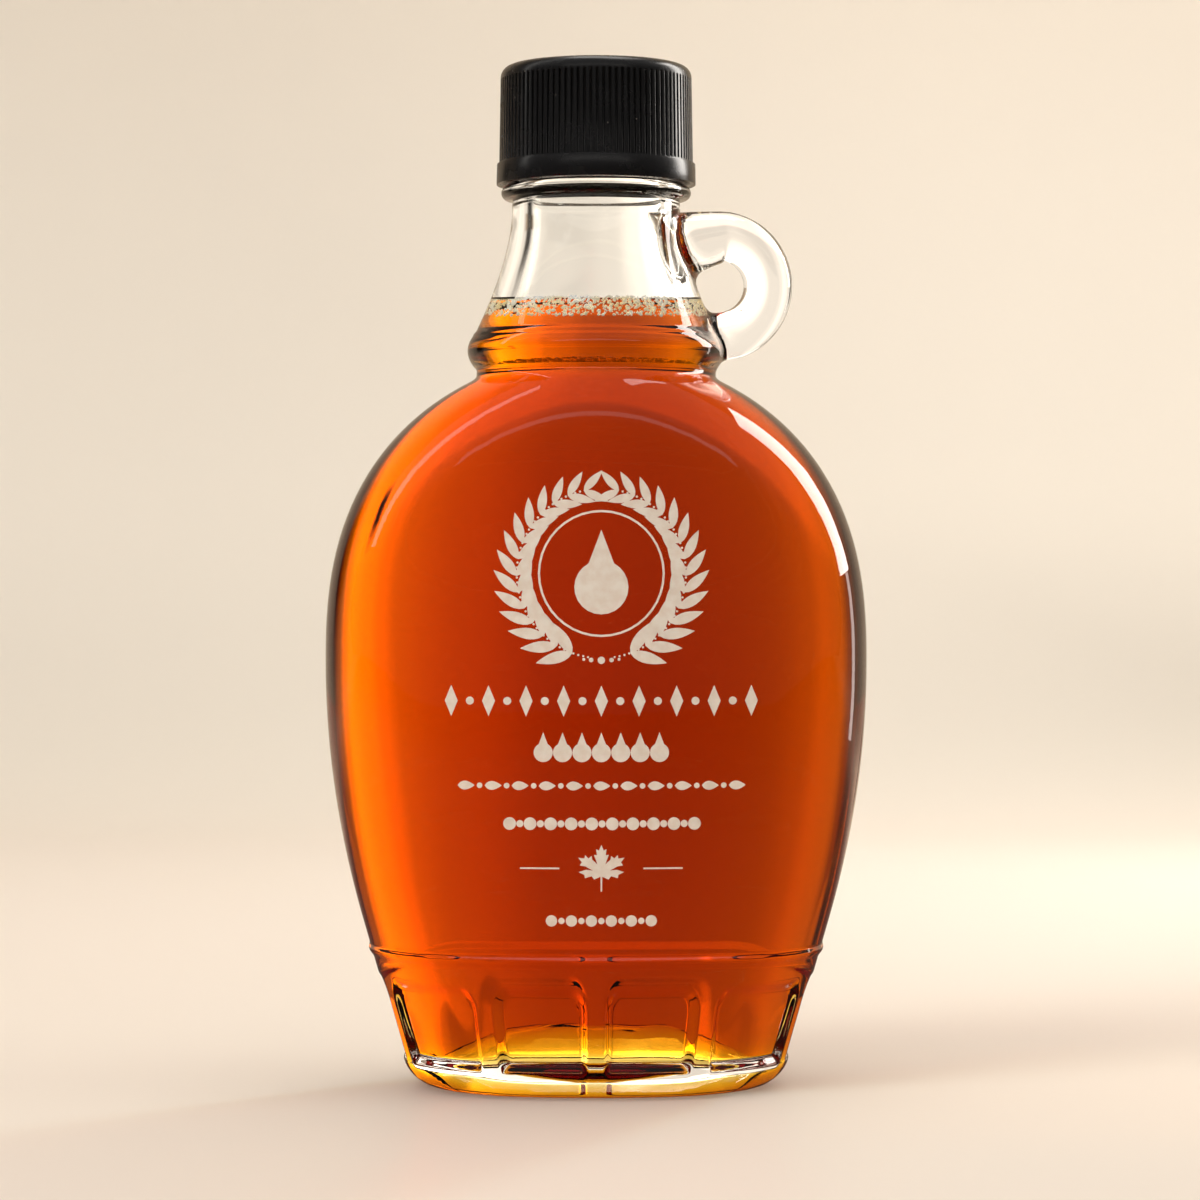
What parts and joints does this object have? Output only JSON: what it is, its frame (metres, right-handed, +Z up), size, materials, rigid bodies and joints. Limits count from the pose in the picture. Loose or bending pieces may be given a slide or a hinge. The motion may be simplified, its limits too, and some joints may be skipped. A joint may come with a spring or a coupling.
{
  "type": "maple syrup bottle",
  "caption": "Oval glass flask with a loop handle on its neck, filled with amber syrup and closed by a ribbed black screw cap.",
  "frame": {"origin": "centre of the base where it stands, under the neck's axis", "axes": "+Z up along the neck; +Y through the label faces, front face at -Y; +X towards the handle"},
  "size_m": [0.0832, 0.049, 0.1564],
  "materials": {
    "clear_glass": "clear moulded glass",
    "amber_syrup": "clear amber liquid",
    "black_plastic": "moulded, satin",
    "white_print": "fired-on ceramic print"
  },
  "bodies": {
    "root": {"glass_bottle": "clear_glass", "syrup": "amber_syrup", "cap": "black_plastic"}
  },
  "joints": []
}
